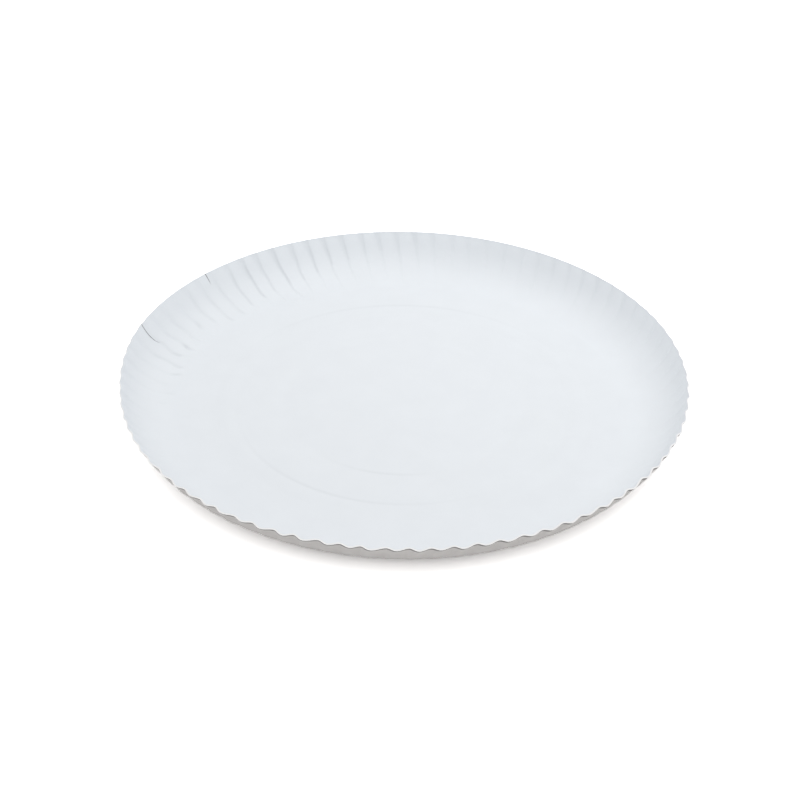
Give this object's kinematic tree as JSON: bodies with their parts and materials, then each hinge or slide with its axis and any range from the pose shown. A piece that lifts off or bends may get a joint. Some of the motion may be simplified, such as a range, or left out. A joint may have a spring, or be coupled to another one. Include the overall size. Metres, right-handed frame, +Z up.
{
  "type": "paper plate",
  "caption": "Round disposable paper plate: flat pressed base, rounded corner and a leaning fluted rim, for serving dry or light food.",
  "frame": {"origin": "centre of the plate's flat base, on the surface it stands on", "axes": "+Z up through the middle of the plate, -Y towards the viewer of the picture, +X to the right"},
  "size_m": [0.2314, 0.2314, 0.0167],
  "materials": {
    "board": "white pressed paperboard, smooth with a slight satin sheen"
  },
  "bodies": {
    "root": {"plate": "board"}
  },
  "joints": []
}
